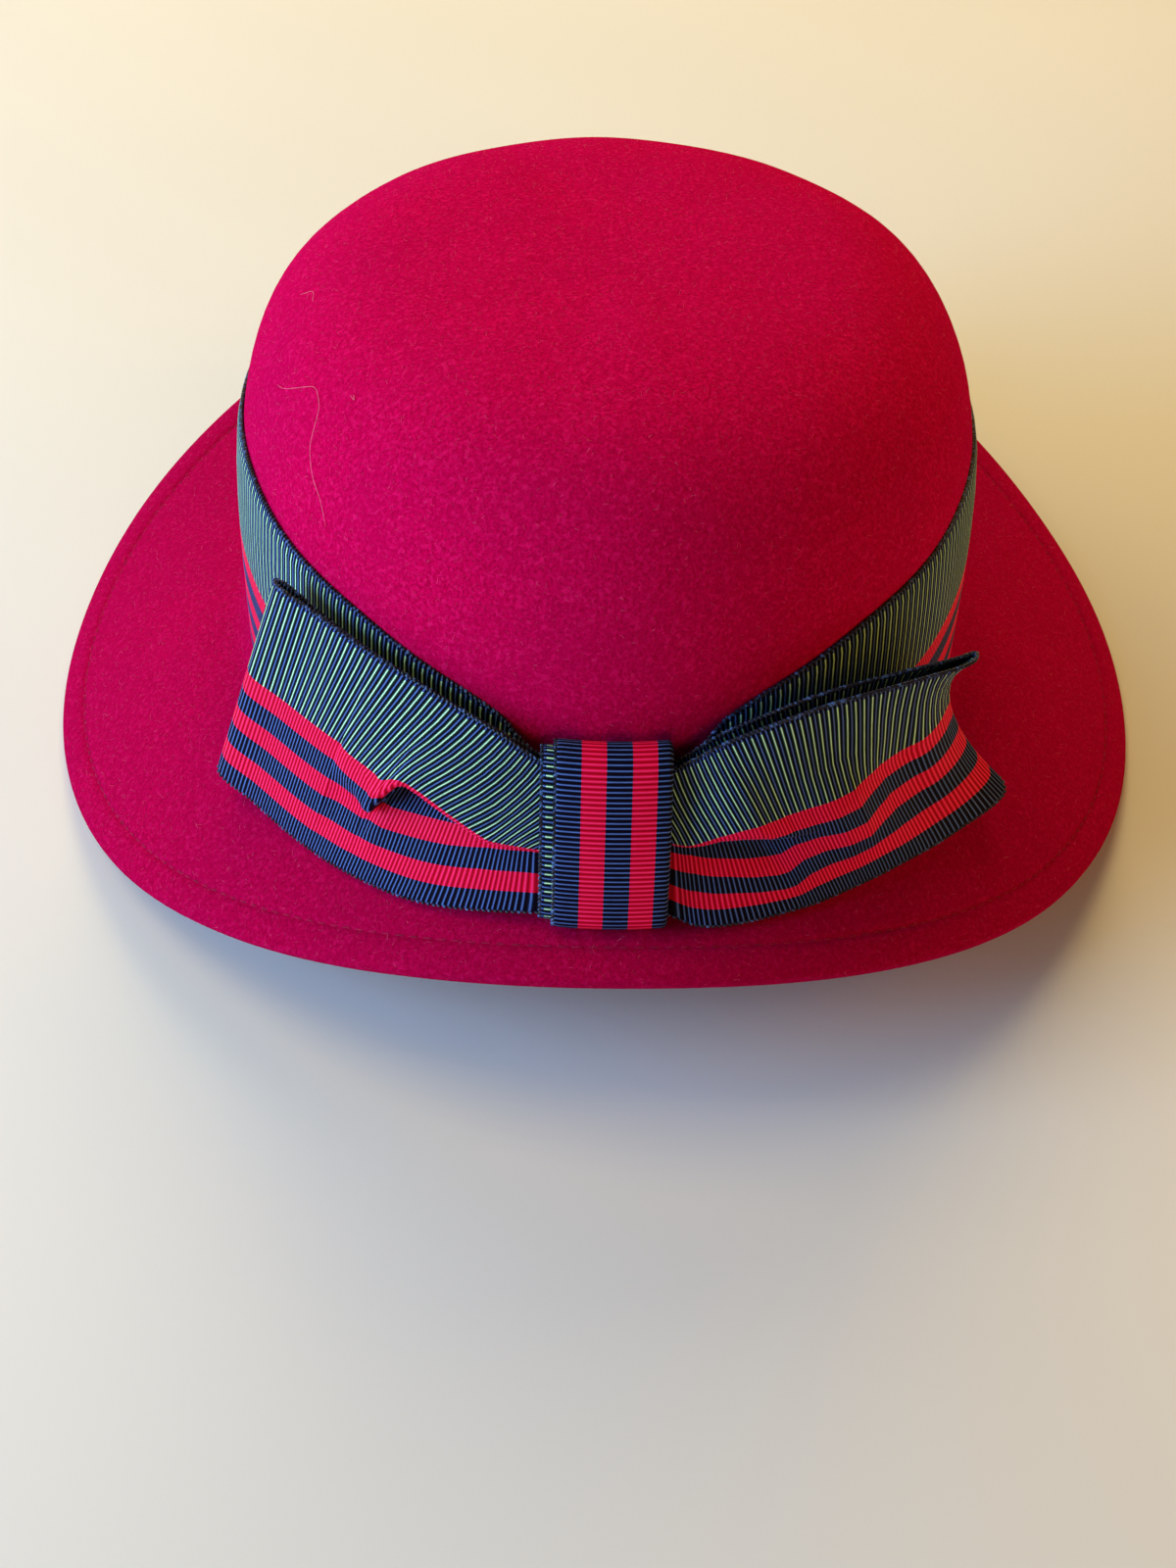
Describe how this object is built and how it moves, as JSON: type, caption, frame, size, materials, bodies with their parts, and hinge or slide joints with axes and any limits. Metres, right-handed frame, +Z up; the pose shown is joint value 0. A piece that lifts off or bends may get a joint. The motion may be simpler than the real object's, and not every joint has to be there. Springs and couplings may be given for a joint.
{
  "type": "breton-style felt hat with a striped ribbon bow",
  "caption": "Rounded felt hat with a sloping brim that turns up at the front, a striped ribbed ribbon band and a flat folded bow with a wrapped knot at the back.",
  "frame": {"origin": "on the table, under the middle of the hat's bounding box", "axes": "+Z up, +Y towards the wearer's front, the bow at -Y, +X towards the wearer's right"},
  "size_m": [0.27, 0.2842, 0.1354],
  "materials": {
    "felt": "matte brushed wool felt, raspberry red",
    "ribbon": "ribbed grosgrain with a soft sheen, green field and red and navy stripes"
  },
  "bodies": {
    "root": {"felt_body": "felt", "hat_band": "ribbon", "bow_loops": "ribbon", "bow_knot": "ribbon"}
  },
  "joints": []
}
